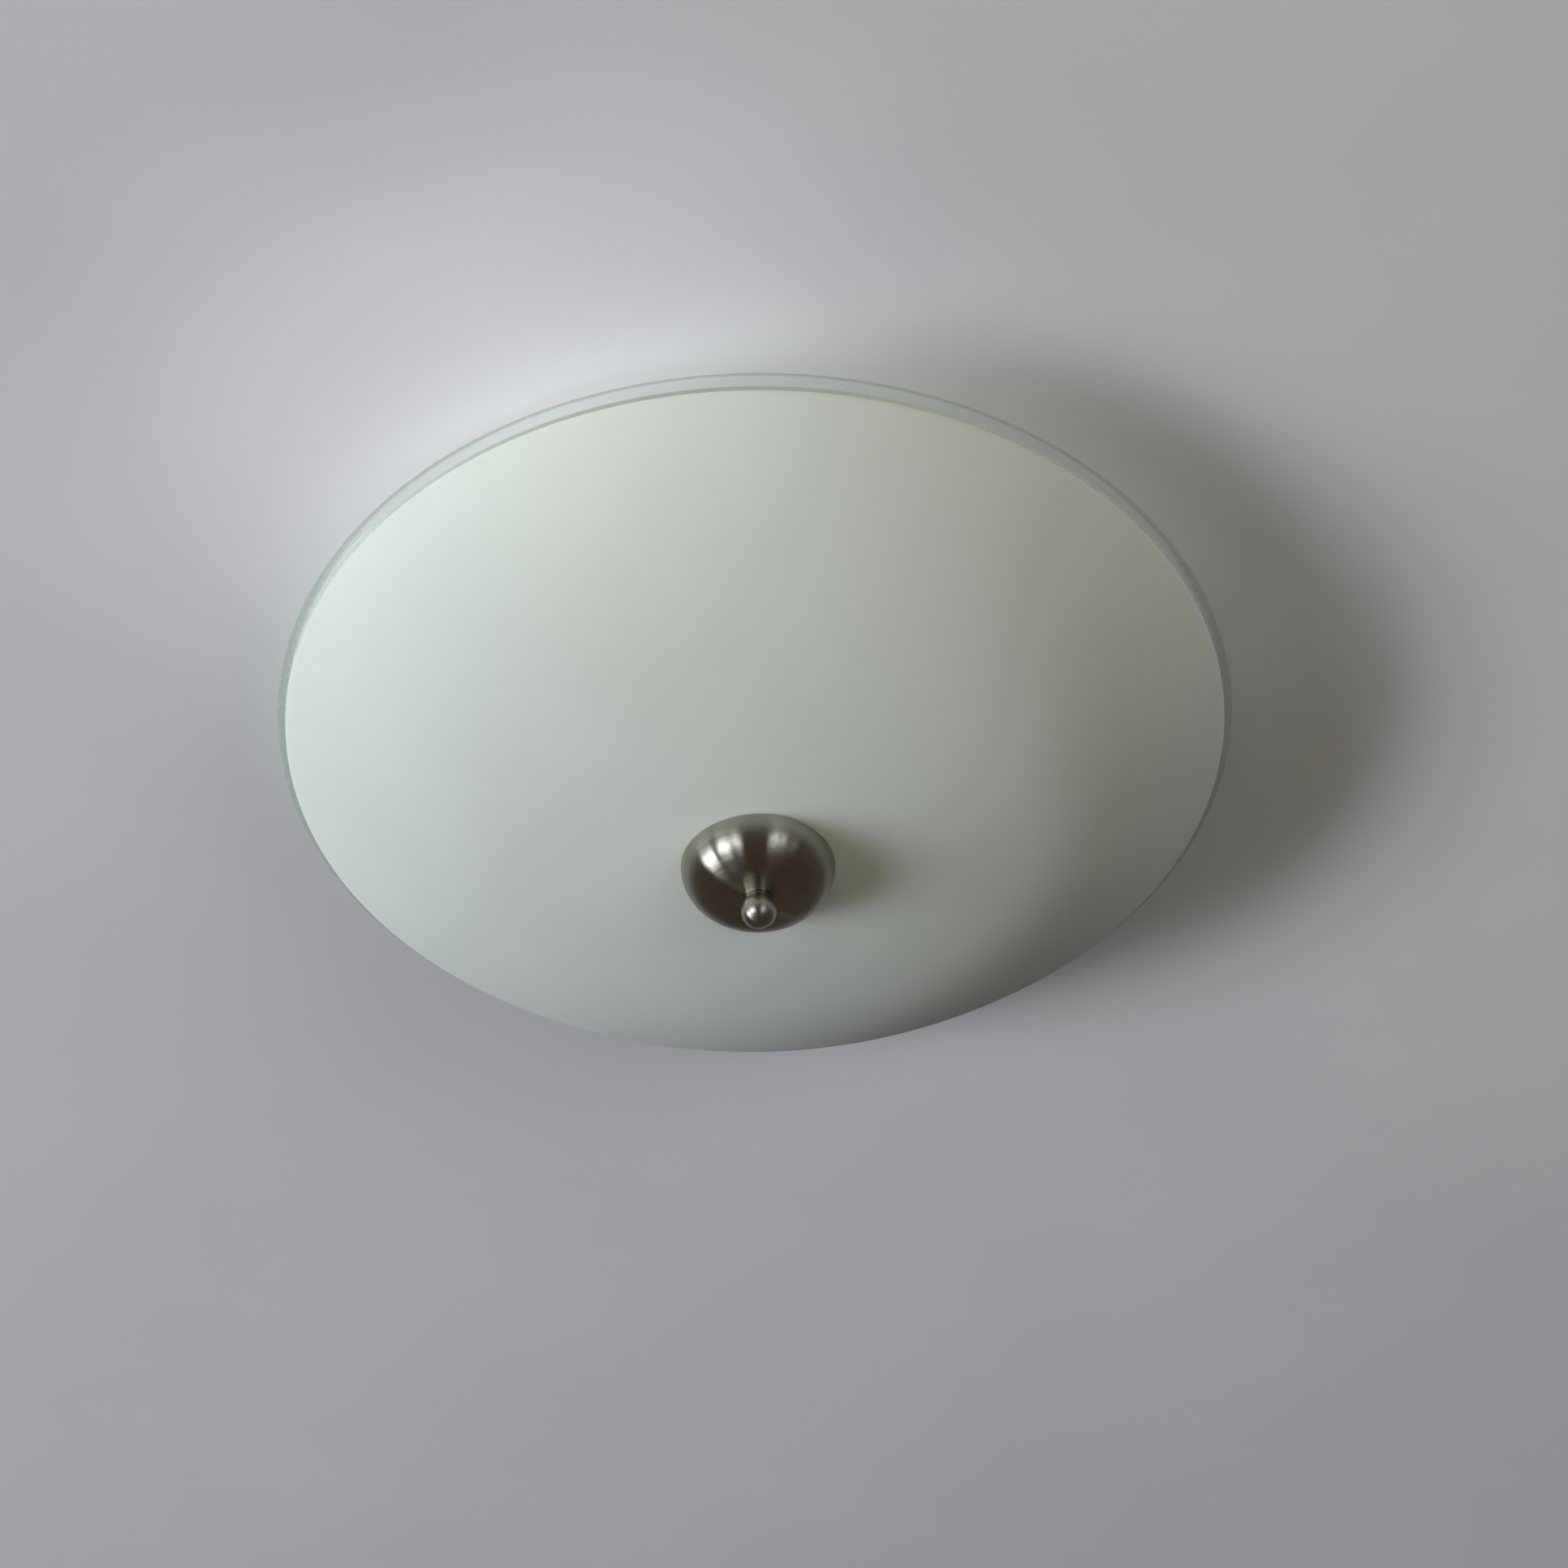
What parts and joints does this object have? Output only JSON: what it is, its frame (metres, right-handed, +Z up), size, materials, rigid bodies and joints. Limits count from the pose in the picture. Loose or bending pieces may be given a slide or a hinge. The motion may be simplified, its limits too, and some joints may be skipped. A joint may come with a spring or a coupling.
{
  "type": "ceiling_light",
  "caption": "Flush ceiling light: shallow frosted glass bowl with a clear rim, held by a brushed metal cap and ball knob on a central rod, over a white pan with lampholders",
  "frame": {"origin": "Middle of the pan's upper face, the face that lies against the ceiling, on the axis of the central rod.", "axes": "Z points up into the ceiling, and the light hangs along -Z. X runs along the two lamps. +Y points to the terminal block and the cable entry."},
  "size_m": [0.4, 0.4, 0.1299],
  "materials": {
    "white_enamel": "satin white powder coat",
    "black_rubber": "matte rubber",
    "zinc_plate": "zinc plated steel",
    "frosted_glass": "satin frosted glass with a clear edge band",
    "brushed_nickel": "nickel plate brushed around the axis",
    "white_felt": "pressed felt",
    "white_plastic": "moulded thermoset plastic",
    "core_ceramic": "unglazed steatite",
    "contact_brass": "plain brass",
    "lamp_aluminium": "rolled aluminium",
    "black_insulator": "black vitreous insulator",
    "opal_bulb": "opal lamp glass",
    "brown_insulation": "brown lead insulation",
    "blue_insulation": "blue lead insulation",
    "green_insulation": "green and yellow lead insulation"
  },
  "bodies": {
    "root": {"ceiling_pan": "white_enamel", "cable_grommet": "black_rubber", "lamp_bracket": "zinc_plate", "bracket_screws": "zinc_plate", "centre_rod": "zinc_plate", "rod_top_nut": "zinc_plate", "rod_lock_washer": "zinc_plate", "rod_bottom_nut": "zinc_plate", "stop_nut": "zinc_plate", "stop_washer": "zinc_plate", "nipple_left": "zinc_plate", "nipple_right": "zinc_plate", "nipple_nut_left": "zinc_plate", "nipple_nut_right": "zinc_plate", "holder_dome_left": "white_plastic", "holder_dome_right": "white_plastic", "holder_skirt_left": "white_plastic", "holder_skirt_right": "white_plastic", "holder_core_left": "core_ceramic", "holder_core_right": "core_ceramic", "screw_shell_left": "contact_brass", "screw_shell_right": "contact_brass", "centre_contact_left": "contact_brass", "centre_contact_right": "contact_brass", "terminal_block": "white_plastic", "terminal_inserts": "contact_brass", "terminal_screws": "zinc_plate", "block_fixing_screw": "zinc_plate", "earth_tag": "zinc_plate", "earth_screw": "contact_brass", "lead_live": "brown_insulation", "lead_neutral": "blue_insulation", "lead_earth": "green_insulation"},
    "glass": {"glass_bowl": "frosted_glass", "bowl_seat": "black_rubber"},
    "cap": {"glass_cap": "brushed_nickel", "cap_felt_ring": "white_felt"},
    "finial": {"ball_knob": "brushed_nickel"},
    "lamp_left": {"lamp_cap_left": "lamp_aluminium", "lamp_foot_left": "black_insulator", "lamp_button_left": "zinc_plate", "lamp_bulb_left": "opal_bulb"},
    "lamp_right": {"lamp_cap_right": "lamp_aluminium", "lamp_foot_right": "black_insulator", "lamp_button_right": "zinc_plate", "lamp_bulb_right": "opal_bulb"}
  },
  "joints": [
    {"name": "glass_take_down", "type": "slide", "parent": "root", "child": "glass", "axis": [0, 0, -1], "range_m": [0, 0.1]},
    {"name": "cap_lower", "type": "slide", "parent": "glass", "child": "cap", "axis": [0, 0, -1], "range_m": [0, 0.01]},
    {"name": "finial_turn", "type": "hinge", "parent": "cap", "child": "finial", "pos_m": [0, 0, -0.12265], "axis": [0, 0, -1], "range_deg": [0, 2881]},
    {"name": "lamp_left_out", "type": "slide", "parent": "root", "child": "lamp_left", "axis": [-1, 0, 0], "range_m": [0, 0.028]},
    {"name": "lamp_right_out", "type": "slide", "parent": "root", "child": "lamp_right", "axis": [1, 0, 0], "range_m": [0, 0.028]}
  ],
  "couplings": [
    {"joint": "finial_turn", "follows": "cap_lower", "rad_per_m": 5026.5}
  ]
}
